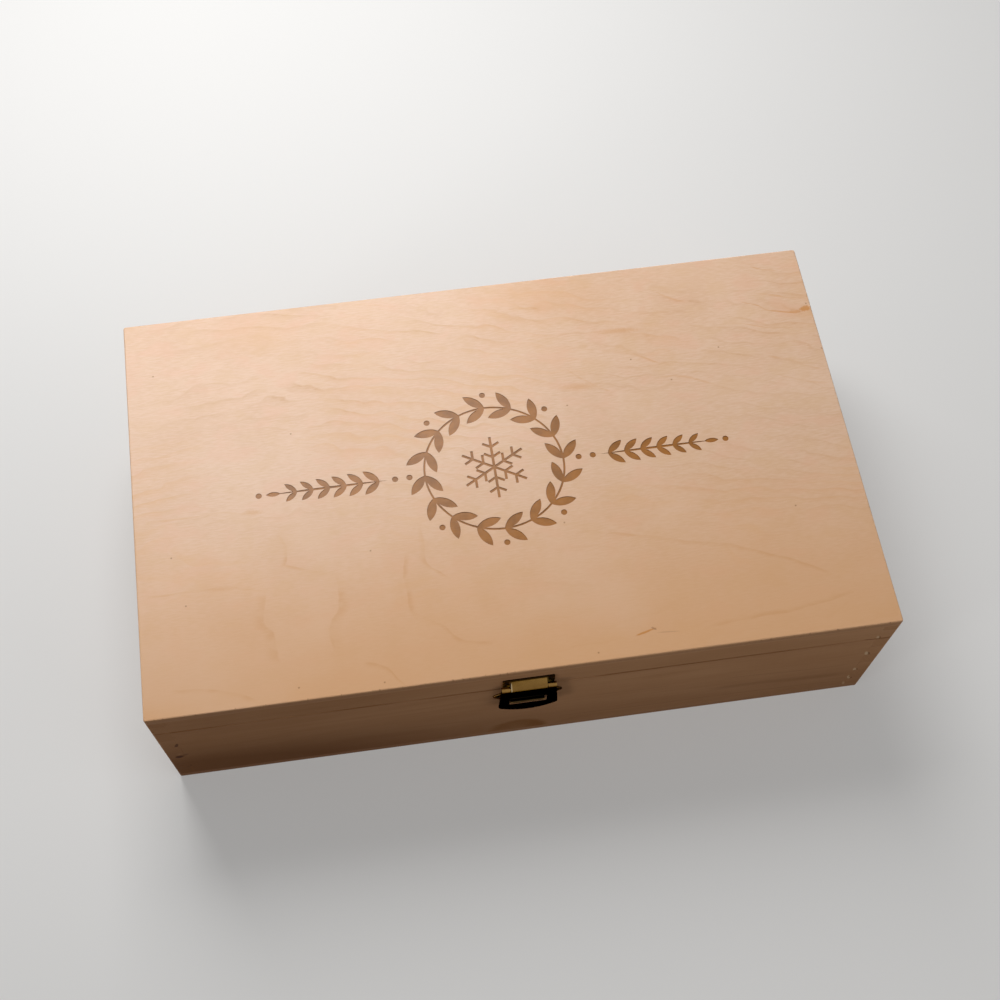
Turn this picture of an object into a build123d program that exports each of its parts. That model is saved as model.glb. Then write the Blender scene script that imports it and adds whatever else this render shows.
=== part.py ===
from build123d import *
import math
import os

# A finger-jointed wooden gift box with a hinged lid and a sprung flap latch.
# Lengths are in millimetres. The origin is the middle of the bottom face, +X runs along the
# length, -Y is the front with the latch, +Y is the back with the hinges, and +Z is up.

# Box and boards
box_length = 350.0
box_depth = 216.0
wall = 8.0
bottom_thickness = 4.0
lid_board_thickness = 4.0
body_wall_height = 58.2
lid_rail_height = 13.5
seam_gap = 0.3

# Finger joints: the walls were jointed as one tall box and then sawn apart at the seam
body_fingers = 6
finger_gap = 0.08

# Sanded edges
corner_radius = 1.2
lid_edge_radius = 0.8
bottom_edge_radius = 0.6
seam_chamfer = 0.15

# Round-head nails, used for every metal plate
nail_radius = 0.55
nail_head_radius = 1.15
nail_head_height = 0.55
nail_tip_cover = 1.5
nail_clearance = 0.05

# Back hinges
hinge_end_distance = 65.0
hinge_width = 25.0
hinge_leaf_height = 9.5
hinge_sheet = 0.8
hinge_pin_radius = 0.9
hinge_pin_overhang = 0.4
hinge_knuckles = 5
hinge_knuckle_gap = 0.15
hinge_leaf_gap = 0.2
hinge_wall_clearance = 0.1
hinge_corner_radius = 1.5
hinge_nail_spacing = 15.0
hinge_nail_height = 6.0
pin_clearance = 0.05

# Latch plate, hood and pin on the lid
latch_sheet = 0.7
latch_pin_radius = 0.6
latch_pin_height = 3.5
latch_pin_proud = 2.4
hood_width = 17.0
lid_plate_width = 24.4
lid_plate_bottom = 0.8
lid_plate_top = 9.8
lid_plate_bridge = 1.1
lid_plate_corner_radius = 0.8
lid_nail_below_top = 2.4

# Latch flap, a frame that hangs from the pin
flap_top_width = 25.8
flap_bottom_width = 28.5
flap_side_length = 19.2
flap_bottom_bulge = 4.2
flap_corner_radius = 2.0
flap_window_depth = 17.5
flap_window_radius = 0.8
flap_tilt = 3.5
flap_side_gap = 0.4

# Catch plate on the body, behind the flap
catch_plate_width = 34.0
catch_tip_radius = 1.2
catch_seam_margin = 0.7
catch_bead_margin = 2.4
catch_bead_radius = 0.7
catch_bead_rise = 0.2
catch_bead_width = 16.6
catch_flap_clearance = 0.25
catch_nail_inset = 2.7

# Ornament burnt into the lid: a wreath round a snow crystal, with a leafy branch on each side
ornament_depth = 0.25
wreath_radius = 34.0
wreath_stem_width = 1.0
wreath_leaf_pairs = 16
wreath_leaf_length = 12.5
wreath_leaf_width = 4.6
wreath_leaf_lean = 38.0
berry_radius = 1.5
wreath_berry_offset = 7.5
crystal_arms = 6
crystal_arm_length = 17.0
crystal_line_width = 1.3
crystal_branch_length = 4.6
crystal_branch_angle = 60.0
branch_start = 52.0
branch_berry_gap = 3.5
branch_stem_width = 1.2
branch_leaf_pairs = 6
branch_leaf_pitch = 8.0
branch_leaf_length = 10.0
branch_leaf_width = 3.6
branch_leaf_lean = 40.0
branch_tip_scale = 0.7

# Heights and places that follow from the sizes above
seam_z = bottom_thickness + body_wall_height
lid_base_z = seam_z + seam_gap
lid_board_z = lid_base_z + lid_rail_height
box_height = lid_board_z + lid_board_thickness
finger_height = body_wall_height / body_fingers
front_y = -box_depth / 2
back_y = box_depth / 2
hinge_z = seam_z + seam_gap / 2
hinge_knuckle_radius = hinge_pin_radius + pin_clearance + hinge_sheet
hinge_proud = hinge_knuckle_radius + hinge_wall_clearance
hinge_y = back_y + hinge_proud
nail_depth = wall - nail_tip_cover
latch_pin_z = lid_base_z + latch_pin_height
latch_pin_y = front_y - latch_pin_proud
latch_knuckle_radius = latch_pin_radius + pin_clearance + latch_sheet
window_half_width = hood_width / 2 + flap_side_gap


def eased_block(z_low, z_high):
    """The outer shape of the box between two heights, with its upright corners rounded."""
    footprint = RectangleRounded(box_length, box_depth, corner_radius)
    return Pos(0, 0, z_low) * extrude(footprint, z_high - z_low)


def body_block():
    block = eased_block(0, seam_z)
    block = fillet(block.edges().group_by(Axis.Z)[0], bottom_edge_radius)
    return chamfer(block.edges().group_by(Axis.Z)[-1], seam_chamfer)


def lid_block():
    block = eased_block(lid_base_z, box_height)
    block = fillet(block.edges().group_by(Axis.Z)[-1], lid_edge_radius)
    return chamfer(block.edges().group_by(Axis.Z)[0], seam_chamfer)


def finger_bands(z_low, z_high, first):
    """Finger bands from one height to another, each as its running number, low and high height."""
    count = math.ceil((z_high - z_low) / finger_height - finger_gap)
    bands = []
    for step in range(count):
        low = z_low + step * finger_height
        bands.append((first + step, low, min(z_high, low + finger_height)))
    return bands


def corner_blocks(bands, remainder):
    """The corner squares of every second band, at all four corners, grown by half the joint's gap."""
    blocks = []
    for number, low, high in bands:
        if number % 2 != remainder:
            continue
        height = high - low + finger_gap
        for side_x in (-1, 1):
            for side_y in (-1, 1):
                x = side_x * (box_length - wall) / 2
                y = side_y * (box_depth - wall) / 2
                blocks.append(Pos(x, y, (low + high) / 2) * Box(wall, wall, height))
    return blocks


def long_board(side, z_low, z_high, bands, block):
    """A front or back board. It fills the corners in the even bands."""
    place = Pos(0, side * (box_depth - wall) / 2, (z_low + z_high) / 2)
    board = place * Box(box_length, wall, z_high - z_low)
    return (board - corner_blocks(bands, 1)) & block


def short_board(side, z_low, z_high, bands, block):
    """A left or right board. It fills the corners in the odd bands."""
    place = Pos(side * (box_length - wall) / 2, 0, (z_low + z_high) / 2)
    board = place * Box(wall, box_depth, z_high - z_low)
    return (board - corner_blocks(bands, 0)) & block


def flat_board(z_low, thickness, block):
    return (Pos(0, 0, z_low + thickness / 2) * Box(box_length, box_depth, thickness)) & block


def leaf(length, width):
    """A shape of two arcs, pointed at both ends, from the origin along +X."""
    upper = ThreePointArc((0, 0), (length / 2, width / 2), (length, 0))
    lower = ThreePointArc((length, 0), (length / 2, -width / 2), (0, 0))
    return make_face(upper + lower)


def wreath_shapes():
    """A ring with leaf pairs that lean along it, and a berry outside every second pair."""
    shapes = [Circle(wreath_radius + wreath_stem_width / 2) - Circle(wreath_radius - wreath_stem_width / 2)]
    step = 360 / wreath_leaf_pairs
    for index in range(wreath_leaf_pairs):
        at_ring = Rot(0, 0, index * step) * Pos(wreath_radius, 0)
        for side in (-1, 1):
            lean = Rot(0, 0, 90 + side * wreath_leaf_lean)
            shapes.append(at_ring * lean * leaf(wreath_leaf_length, wreath_leaf_width))
        if index % 2 == 0:
            shapes.append(at_ring * Pos(wreath_berry_offset, 0) * Circle(berry_radius))
    return shapes


def crystal_shapes():
    """A snow crystal: straight arms, each with two pairs of slanting branches."""
    shapes = []
    along = (Align.MIN, Align.CENTER)
    for index in range(crystal_arms):
        turn = Rot(0, 0, (index + 0.5) * 360 / crystal_arms)
        shapes.append(turn * Rectangle(crystal_arm_length, crystal_line_width, align=along))
        for fraction in (1 / 3, 2 / 3):
            on_arm = turn * Pos(crystal_arm_length * fraction, 0)
            for angle in (-crystal_branch_angle, crystal_branch_angle):
                branch = Rectangle(crystal_branch_length, crystal_line_width, align=along)
                shapes.append(on_arm * Rot(0, 0, angle) * branch)
    return shapes


def branch_shapes():
    """A branch along +X from the origin: a stem, leaf pairs that get smaller, a tip leaf and two berries."""
    length = (branch_leaf_pairs + 0.5) * branch_leaf_pitch
    shapes = [leaf(length + branch_leaf_length / 2, branch_stem_width)]
    for index in range(branch_leaf_pairs):
        scale = 1 - (1 - branch_tip_scale) * index / branch_leaf_pairs
        on_stem = Pos((index + 0.5) * branch_leaf_pitch, 0)
        for lean in (-branch_leaf_lean, branch_leaf_lean):
            one = leaf(scale * branch_leaf_length, scale * branch_leaf_width)
            shapes.append(on_stem * Rot(0, 0, lean) * one)
    tip_length = branch_tip_scale * branch_leaf_length
    shapes.append(Pos(length, 0) * leaf(tip_length, branch_tip_scale * branch_leaf_width))
    for x in (-branch_berry_gap, length + tip_length + branch_berry_gap):
        shapes.append(Pos(x, 0) * Circle(berry_radius))
    return shapes


def side_branches():
    """The branch on the right of the wreath, and the same one turned round on its left."""
    placed = [Pos(branch_start, 0) * shape for shape in branch_shapes()]
    return placed + [Rot(0, 0, 180) * shape for shape in placed]


def ornament_cutters():
    """The burnt ornament as solids that reach its depth into the lid board."""
    shapes = wreath_shapes() + crystal_shapes() + side_branches()
    floor_z = box_height - ornament_depth
    return [Pos(0, 0, floor_z) * extrude(shape, 2 * ornament_depth) for shape in shapes]


def rod(radius, z_low, z_high):
    """An upright cylinder between two heights."""
    return Pos(0, 0, (z_low + z_high) / 2) * Cylinder(radius, z_high - z_low)


def nail(plate):
    """A nail through a plate of the given thickness, along -Z into the wood below Z = 0."""
    dome_radius = (nail_head_radius ** 2 + nail_head_height ** 2) / (2 * nail_head_height)
    top = plate + nail_head_height
    dome = Pos(0, 0, top - dome_radius) * Sphere(dome_radius)
    return rod(nail_radius, -nail_depth, plate) + (dome & rod(nail_head_radius, plate, top))


def nail_bore(plate):
    """The hole that a nail passes through, in the plate and in the wood."""
    return rod(nail_radius + nail_clearance, -nail_depth - nail_clearance, plate + nail_clearance)


def on_front(x, z):
    """A place on the front face whose local +Z points out of the box."""
    return Pos(x, front_y, z) * Rot(90, 0, 0)


def on_back(x, z):
    """A place on the back face whose local +Z points out of the box."""
    return Pos(x, back_y, z) * Rot(-90, 0, 0)


def hinge_nail_places(sign):
    """Nail places of both hinges, on the lid leaves for sign 1 and on the body leaves for sign -1."""
    places = []
    for side in (-1, 1):
        for offset in (-hinge_nail_spacing / 2, hinge_nail_spacing / 2):
            x = side * (box_length / 2 - hinge_end_distance) + offset
            places.append(on_back(x, hinge_z + sign * hinge_nail_height))
    return places


def hinge_leaf(side, sign):
    """One leaf with its share of the knuckles: the lid leaf for sign 1, the body leaf for sign -1."""
    centre_x = side * (box_length / 2 - hinge_end_distance)
    plate = RectangleRounded(hinge_width, 2 * hinge_leaf_height, hinge_corner_radius)
    leaf_plate = Pos(centre_x, back_y, hinge_z) * Rot(-90, 0, 0) * extrude(plate, hinge_sheet)
    leaf_plate -= Pos(centre_x, back_y, hinge_z - sign * hinge_leaf_height) * Box(
        2 * hinge_width, 4 * hinge_sheet, 2 * hinge_leaf_height)
    pitch = hinge_width / hinge_knuckles
    own = 0 if sign < 0 else 1
    notch = Box(pitch + hinge_knuckle_gap, 4 * hinge_sheet, 2 * (hinge_knuckle_radius + hinge_leaf_gap))
    bore = Cylinder(hinge_pin_radius + pin_clearance, 2 * hinge_width)
    for index in range(hinge_knuckles):
        x = centre_x - hinge_width / 2 + (index + 0.5) * pitch
        if index % 2 == own:
            knuckle = Cylinder(hinge_knuckle_radius, pitch - hinge_knuckle_gap)
            leaf_plate += Pos(x, hinge_y, hinge_z) * Rot(0, 90, 0) * knuckle
        else:
            leaf_plate -= Pos(x, back_y, hinge_z) * notch
    leaf_plate -= Pos(centre_x, hinge_y, hinge_z) * Rot(0, 90, 0) * bore
    return leaf_plate - [place * nail_bore(hinge_sheet) for place in hinge_nail_places(sign)]


def hinge_pin(side):
    centre_x = side * (box_length / 2 - hinge_end_distance)
    pin = Cylinder(hinge_pin_radius, hinge_width + 2 * hinge_pin_overhang)
    pin = chamfer(pin.edges().filter_by(GeomType.CIRCLE), hinge_pin_overhang / 2)
    return Pos(centre_x, hinge_y, hinge_z) * Rot(0, 90, 0) * pin


def latch_profile(sketch, width):
    """Extrude a sketch, drawn with outward depth as X and height as Y, to both sides of the middle."""
    plane = Plane(origin=(0, front_y, 0), x_dir=(0, -1, 0), z_dir=(-1, 0, 0))
    return extrude(plane * sketch, width / 2, both=True)


def lid_nail_places():
    x = (lid_plate_width + 2 * window_half_width) / 4
    z = lid_base_z + lid_plate_top - lid_nail_below_top
    return [on_front(-x, z), on_front(x, z)]


def latch_lid_plate():
    """The lid plate: two wings and a bridge, and a tongue from the bridge curled round the pin."""
    height = lid_plate_top - lid_plate_bottom
    outline = RectangleRounded(lid_plate_width, height, lid_plate_corner_radius)
    plate = on_front(0, lid_base_z + lid_plate_bottom + height / 2) * extrude(outline, latch_sheet)
    bend_z = lid_base_z + lid_plate_top - lid_plate_bridge
    plate -= Pos(0, front_y, bend_z - height / 2) * Box(2 * window_half_width, 4 * latch_sheet, height)
    centre = Vector(latch_pin_proud, latch_pin_z)
    start = Vector(latch_sheet, bend_z)
    reach = centre - start
    spread = math.degrees(math.asin(latch_knuckle_radius / reach.length))
    slope = math.degrees(math.atan2(reach.Y, reach.X)) + spread
    run = math.sqrt(reach.length ** 2 - latch_knuckle_radius ** 2)
    strip = Rectangle(run + 2 * latch_sheet, latch_sheet, align=(Align.MAX, Align.MAX))
    tongue = Pos(start.X, start.Y) * Rot(0, 0, slope) * Pos(run, 0) * strip
    in_front = Rectangle(2 * latch_pin_proud, lid_plate_top - latch_pin_height, align=Align.MIN)
    tongue &= Pos(0, latch_pin_z) * in_front
    curl = Pos(centre.X, centre.Y) * Circle(latch_knuckle_radius)
    bore = Pos(centre.X, centre.Y) * Circle(latch_pin_radius + pin_clearance)
    plate += latch_profile((tongue + curl) - bore, hood_width)
    return plate - [place * nail_bore(latch_sheet) for place in lid_nail_places()]


def latch_pin():
    pin = Cylinder(latch_pin_radius, flap_top_width)
    pin = fillet(pin.edges().filter_by(GeomType.CIRCLE), latch_pin_radius / 2)
    return Pos(0, latch_pin_y, latch_pin_z) * Rot(0, 90, 0) * pin


def at_flap():
    """The flap's own frame: its origin on the pin, +X along the box, -Y down the flap and +Z outwards."""
    return Pos(0, latch_pin_y, latch_pin_z) * Rot(90 - flap_tilt, 0, 0)


def latch_lever():
    """The flap: a frame with a bowed lower edge, and a knuckle on each side of the hood."""
    top = flap_top_width / 2
    bottom = flap_bottom_width / 2
    corner = flap_side_length
    outline = Polyline((-bottom, -corner), (-top, 0), (top, 0), (bottom, -corner))
    bow = ThreePointArc((bottom, -corner), (0, -corner - flap_bottom_bulge), (-bottom, -corner))
    face = make_face(outline + bow)
    face = fillet(face.vertices().group_by(Axis.Y)[0], flap_corner_radius)
    window = Pos(0, -flap_window_depth / 2 + flap_window_radius) * RectangleRounded(
        2 * window_half_width, flap_window_depth + 2 * flap_window_radius, flap_window_radius)
    frame = extrude(face - window, latch_sheet / 2, both=True)
    for side in (-1, 1):
        width = top - window_half_width
        knuckle = Cylinder(latch_knuckle_radius, width)
        frame += Pos(side * (window_half_width + width / 2), 0, 0) * Rot(0, 90, 0) * knuckle
    frame -= Rot(0, 90, 0) * Cylinder(latch_pin_radius + pin_clearance, 2 * flap_top_width)
    return at_flap() * frame


def catch_bead_place():
    """Depth and height of the catch bead's axis, just behind the lower bar of the flap."""
    tilt = math.radians(flap_tilt)
    z = latch_pin_z - flap_window_depth * math.cos(tilt) + catch_bead_rise
    flap_back = latch_pin_proud + (latch_pin_z - z) * math.tan(tilt) - latch_sheet / 2 / math.cos(tilt)
    return flap_back - catch_flap_clearance - catch_bead_radius, z


def catch_plate_span():
    """Middle height and half height of the catch plate."""
    high = seam_z - catch_seam_margin
    low = catch_bead_place()[1] - catch_bead_margin
    return (high + low) / 2, (high - low) / 2


def catch_nail_places():
    x = catch_plate_width / 2 - catch_nail_inset
    return [on_front(-x, catch_plate_span()[0]), on_front(x, catch_plate_span()[0])]


def latch_catch_plate():
    """The body plate: a pointed oval with a folded lip whose bead the flap snaps over."""
    bead_depth, bead_z = catch_bead_place()
    centre_z, half_height = catch_plate_span()
    oval = Pos(-catch_plate_width / 2, 0) * leaf(catch_plate_width, 2 * half_height)
    oval = fillet(oval.vertices(), catch_tip_radius)
    plate = on_front(0, centre_z) * extrude(oval, latch_sheet)
    lip = Pos(0, bead_z) * Rectangle(bead_depth, latch_sheet, align=(Align.MIN, Align.CENTER))
    bead = Pos(bead_depth, bead_z) * Circle(catch_bead_radius)
    plate += latch_profile(lip + bead, catch_bead_width)
    return plate - [place * nail_bore(latch_sheet) for place in catch_nail_places()]


def nails(places, plate_thickness):
    return Compound([(place * nail(plate_thickness)).solid() for place in places])


def model():
    """Every node of the box by name."""
    body = body_block()
    lid = lid_block()
    body_bands = finger_bands(bottom_thickness, seam_z, 0)
    lid_bands = finger_bands(seam_z, lid_board_z, body_fingers)
    hinge_body_places = hinge_nail_places(-1)
    hinge_lid_places = hinge_nail_places(1)
    body_bores = [place * nail_bore(hinge_sheet) for place in hinge_body_places]
    lid_bores = [place * nail_bore(hinge_sheet) for place in hinge_lid_places]
    catch_bores = [place * nail_bore(latch_sheet) for place in catch_nail_places()]
    plate_bores = [place * nail_bore(latch_sheet) for place in lid_nail_places()]
    nodes = {
        "bottom_panel": flat_board(0, bottom_thickness, body),
        "body_front_panel": long_board(-1, bottom_thickness, seam_z, body_bands, body) - catch_bores,
        "body_back_panel": long_board(1, bottom_thickness, seam_z, body_bands, body) - body_bores,
        "body_left_panel": short_board(-1, bottom_thickness, seam_z, body_bands, body),
        "body_right_panel": short_board(1, bottom_thickness, seam_z, body_bands, body),
        "lid_top_board": flat_board(lid_board_z, lid_board_thickness, lid) - ornament_cutters(),
        "lid_front_rail": long_board(-1, lid_base_z, lid_board_z, lid_bands, lid) - plate_bores,
        "lid_back_rail": long_board(1, lid_base_z, lid_board_z, lid_bands, lid) - lid_bores,
        "lid_left_rail": short_board(-1, lid_base_z, lid_board_z, lid_bands, lid),
        "lid_right_rail": short_board(1, lid_base_z, lid_board_z, lid_bands, lid),
        "hinge_body_nails": nails(hinge_body_places, hinge_sheet),
        "hinge_lid_nails": nails(hinge_lid_places, hinge_sheet),
        "latch_lid_plate": latch_lid_plate(),
        "latch_lid_nails": nails(lid_nail_places(), latch_sheet),
        "latch_pin": latch_pin(),
        "latch_lever": latch_lever(),
        "latch_catch_plate": latch_catch_plate(),
        "latch_catch_nails": nails(catch_nail_places(), latch_sheet),
    }
    for side, word in ((-1, "left"), (1, "right")):
        nodes[f"hinge_{word}_body_leaf"] = hinge_leaf(side, -1)
        nodes[f"hinge_{word}_lid_leaf"] = hinge_leaf(side, 1)
        nodes[f"hinge_{word}_pin"] = hinge_pin(side)
    return nodes


os.makedirs("parts", exist_ok=True)
for name, shape in model().items():
    export_step(shape, f"parts/{name}.step")
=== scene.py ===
import math

import bmesh
import bpy
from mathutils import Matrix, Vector


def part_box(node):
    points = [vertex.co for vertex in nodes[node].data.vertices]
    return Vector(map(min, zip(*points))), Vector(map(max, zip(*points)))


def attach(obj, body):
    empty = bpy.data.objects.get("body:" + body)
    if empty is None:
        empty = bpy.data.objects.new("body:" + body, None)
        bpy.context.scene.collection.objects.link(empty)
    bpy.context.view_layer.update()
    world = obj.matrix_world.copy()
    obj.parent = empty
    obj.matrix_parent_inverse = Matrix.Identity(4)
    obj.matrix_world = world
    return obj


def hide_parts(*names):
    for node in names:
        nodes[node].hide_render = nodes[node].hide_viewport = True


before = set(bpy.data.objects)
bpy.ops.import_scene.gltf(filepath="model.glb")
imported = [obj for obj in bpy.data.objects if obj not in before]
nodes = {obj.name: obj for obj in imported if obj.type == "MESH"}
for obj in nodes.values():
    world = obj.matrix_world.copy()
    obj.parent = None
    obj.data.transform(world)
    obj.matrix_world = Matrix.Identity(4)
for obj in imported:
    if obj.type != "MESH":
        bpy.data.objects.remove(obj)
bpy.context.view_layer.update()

# Sizes of the solids that their boxes don't tell, in metres
BODY_FINGERS = 6
HALF_HOOD = 0.0086
HOOD_BRIDGE = 0.0011
ORNAMENT_DEPTH = 0.00025

# Sizes read from the frame, in metres
board_low, board_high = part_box("lid_top_board")
half_length = board_high.x
half_depth = board_high.y
box_height = board_high.z
lid_board_z = board_low.z
wall_low, wall_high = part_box("body_left_panel")
wall = wall_high.x - wall_low.x
finger_height = (wall_high.z - wall_low.z) / BODY_FINGERS
bottom_board_z = wall_low.z
seam_z = (wall_high.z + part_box("lid_left_rail")[0].z) / 2
pin_low, pin_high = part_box("latch_pin")
latch_pin_y = (pin_low.y + pin_high.y) / 2
latch_pin_z = (pin_low.z + pin_high.z) / 2
catch_front_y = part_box("latch_catch_plate")[0].y
bridge_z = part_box("latch_lid_plate")[1].z - HOOD_BRIDGE

# The photograph's camera, solved from the corners of the box in a 1000 by 1000 frame
FRAME_PIXELS = 1000
FOCAL_PIXELS = 1287
AXIS_PIXEL_X = 471
AXIS_PIXEL_Y = 675
CAMERA_PLACE = Vector((-0.05765, -0.32303, 0.62105))
CAMERA_AZIMUTH = math.radians(-8.14)
CAMERA_ELEVATION = math.radians(67.96)
SENSOR_WIDTH = 36

# The studio: strengths of the world's light, of the backdrop and of the floor's own white, and the lamps with
# their places, sizes in metres and powers in watts
AMBIENT = 0.13
BACKDROP = 0.90
FLOOR_GLOW = 0.24
FAR_FLOOR_GLOW = 0.58
FLOOR_HALF_SIZE = 6.0
LAMP_TARGET = (0, 0, 0.05)
LAMPS = (
    ("key", (-0.155, 0.55, 0.645), 0.55, 7.3),
    ("fill_right", (1.16, -0.70, 0.55), 1.20, 4.6),
    ("fill_left", (-1.50, -0.80, 0.38), 0.35, 4.9),
)

# Roughness where the plating is bright, and how far the edges of the sheet metal are rounded, in metres
BRASS_GLOSS = 0.22
WORN_GLOSS = 0.20
BRONZE_GLOSS = 0.16
PLATE_ROUNDING = 0.00012
FLAP_ROUNDING = 0.00018

# Colours, linear
PALE_FLOOR = (0.50, 0.495, 0.485, 1)
FLOOR_BOUNCE = (0.12, 0.115, 0.11, 1)
BIRCH_LIGHT = (0.742, 0.512, 0.364, 1)
BIRCH_MIDDLE = (0.672, 0.434, 0.282, 1)
BIRCH_DARK = (0.520, 0.265, 0.122, 1)
BIRCH_WARM = (0.700, 0.388, 0.190, 1)
BIRCH_PALE = (0.770, 0.530, 0.375, 1)
BIRCH_PINK = (0.735, 0.435, 0.295, 1)
BIRCH_OLIVE = (0.655, 0.415, 0.222, 1)
BIRCH_RUST = (0.600, 0.300, 0.115, 1)
SCORCH_LIGHT = (0.385, 0.155, 0.034, 1)
# The darker burnt colour; also the dark of joints and pin specks, and of the painted shade in the seam's
# tight line
SCORCH_DARK_AND_SHADE = (0.245, 0.098, 0.022, 1)
PITCH = (0.560, 0.230, 0.050, 1)
FLAKE = (0.230, 0.095, 0.035, 1)
PITCH_BLACK = (0.060, 0.016, 0.006, 1)
WALL_LIGHT = (0.580, 0.312, 0.160, 1)
WALL_MIDDLE = (0.495, 0.252, 0.120, 1)
# Dark grain, and also painted shade along the seam and on the bottom board's sawn edges
WALL_DARK_AND_SHADE = (0.255, 0.108, 0.040, 1)
# Painted shade on the faces towards the front, darkest at the lower left
PAINTED_SHADE_BROWN = (0.185, 0.076, 0.027, 1)
KNOT = (0.235, 0.094, 0.022, 1)
PLY_EDGE = (0.520, 0.270, 0.128, 1)
GLUE = (0.720, 0.500, 0.300, 1)
BRASS_BRIGHT = (0.360, 0.205, 0.058, 1)
BRASS_DULL = (0.200, 0.105, 0.027, 1)
BRASS_WORN = (0.480, 0.320, 0.140, 1)
# A painted highlight on the hood's left edge
BRASS_PAINTED_HIGHLIGHT = (0.900, 0.720, 0.450, 1)
# Blackened bronze of the flap; this dark and the brown below are also painted shadow and shade on the hood's
# wings, the catch plate and the latch's nails
BRONZE_DARK_AND_SHADOW = (0.0035, 0.0022, 0.0015, 1)
BRONZE_BROWN_AND_SHADE = (0.011, 0.0065, 0.0040, 1)
# Painted shade on the catch plate
CATCH_SHADE_OLIVE = (0.030, 0.019, 0.008, 1)

# Natural marks in the lid's veneer: centre, half sizes and turn in degrees, how ragged its edge is, how far
# in its full colour starts (1 is at the edge), the colour and its share
LID_MARKS = (
    ((0.1717, 0.0703), (0.0032, 0.0016), 10, 1.6, 0.75, PITCH, 0.70),
    ((0.1660, 0.0690), (0.0030, 0.0010), -5, 1.6, 0.75, PITCH, 0.35),
    ((0.0556, -0.0965), (0.0054, 0.0006), 14, 0.9, 0.60, PITCH, 0.80),
    ((0.0600, -0.0952), (0.0014, 0.0006), -30, 0.7, 0.75, FLAKE, 0.45),
    ((0.0660, -0.0978), (0.0060, 0.0004), -4, 0.5, 0.40, FLAKE, 0.22),
    ((0.0745, 0.0702), (0.0150, 0.0022), -3, 0.7, 0.10, BIRCH_RUST, 0.50),
    ((0.0490, 0.0397), (0.0130, 0.0030), -3, 0.7, 0.10, BIRCH_RUST, 0.40),
    ((-0.1180, -0.0085), (0.0060, 0.0018), -4, 0.8, 0.20, BIRCH_RUST, 0.40),
    ((-0.1360, -0.0470), (0.0090, 0.0014), -3, 0.8, 0.20, PITCH, 0.20),
    ((-0.1090, 0.0930), (0.0300, 0.0160), 0, 0.3, 0.00, BIRCH_WARM, 0.25),
    ((0.0300, 0.0980), (0.0450, 0.0120), -8, 0.3, 0.00, BIRCH_WARM, 0.30),
    ((0.0830, -0.0350), (0.0190, 0.0100), 20, 0.3, 0.00, BIRCH_PALE, 0.20),
)

# Single growth rings on the lid: the axis they run along, points in mm along and across it, how far they
# fade to the lower and to the upper side in mm, and how dark they are
LID_RINGS = (
    ("x", ((-172, -47.5), (-154, -47.0), (-136, -46.6), (-126, -48.8), (-115, -50.8)), 1.0, 0.8, 0.30),
    ("y", ((-90, -110.0), (-81, -113.6), (-73.5, -113.8), (-67, -117.5), (-60, -117.3), (-50, -114.5)),
     6.0, 1.0, 0.28),
    ("y", ((-90, -83.5), (-83.5, -87.0), (-78, -88.0), (-71, -86.5), (-62, -82.0), (-53, -81.6),
           (-45, -86.5)), 1.0, 6.0, 0.28),
    ("x", ((-107, -37.0), (-101, -40.4), (-93, -43.5), (-84, -46.5)), 2.0, 0.8, 0.30),
    ("y", ((-40, -105.8), (-32.6, -103.4), (-27.2, -104.3), (-21, -109.5)), 2.5, 0.7, 0.32),
    ("y", ((-78, -42.5), (-68, -50.0), (-56, -49.8), (-47, -49.6), (-39, -48.2)), 0.8, 3.0, 0.30),
    ("x", ((-52, -68.5), (-43, -75.4), (-34.7, -81.7), (-30, -87.0), (-12, -91.0)), 2.5, 0.8, 0.28),
    ("y", ((-58, -28.5), (-52.6, -33.0), (-45.4, -39.3), (-39, -39.8), (-31, -40.2), (-24, -38.4)),
     3.0, 0.8, 0.30),
    ("x", ((-172, -6.2), (-150, -6.8), (-140, -6.2), (-121, -8.6), (-110, -9.4)), 1.4, 0.7, 0.22),
    ("x", ((-163, -95.0), (-149, -96.3), (-138, -98.5), (-129, -101.7), (-120, -107.0)), 2.4, 0.7, 0.30),
    ("x", ((-75, -94.0), (-64, -97.0), (-60, -102.0), (-56, -107.5)), 2.4, 0.7, 0.32),
    ("x", ((40, -41.0), (75, -50.0), (109, -59.5), (133, -70.0), (148, -79.0), (158, -87.5)), 2.6, 0.7, 0.30),
    ("x", ((80, -98.5), (110, -96.5), (139, -94.0), (152, -91.2), (159.5, -87.0)), 0.7, 2.6, 0.30),
    ("x", ((147, 83.0), (157, 81.0), (166, 78.6), (174, 78.0)), 1.6, 0.8, 0.36),
    ("x", ((130, 67.0), (147, 62.6), (160, 60.4), (174, 58.4)), 0.9, 0.7, 0.28),
    ("x", ((97, 92.8), (102, 88.0), (112, 84.0)), 1.4, 0.6, 0.28),
    ("x", ((61, 59.4), (80, 54.8), (90, 49.0), (103, 44.0)), 1.6, 0.7, 0.28),
    ("x", ((43, 51.5), (51, 44.3), (58, 38.0), (65, 33.8)), 1.4, 0.6, 0.26),
    ("x", ((86, 40.0), (100, 38.6), (110, 34.5), (121, 29.0)), 1.6, 0.7, 0.26),
    ("x", ((145, 44.8), (155, 42.0), (163, 37.0), (173, 32.6)), 1.4, 0.6, 0.28),
    ("x", ((146, 35.8), (155, 29.7), (163, 26.0), (174, 24.0)), 1.4, 0.6, 0.26),
)
LID_RESIN_RINGS = (
    ("x", ((139, 78.6), (147, 75.6), (154.5, 71.5), (168, 69.5)), 0.7, 0.6, 0.50),
    ("x", ((149, 100.5), (155, 98.0), (163, 96.6)), 0.8, 0.6, 0.35),
    ("x", ((52, 79.4), (60, 78.2), (67, 74.0)), 0.7, 0.6, 0.28),
    ("x", ((20, 90.5), (28, 91.0), (37, 89.0)), 1.0, 0.8, 0.28),
)

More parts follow.
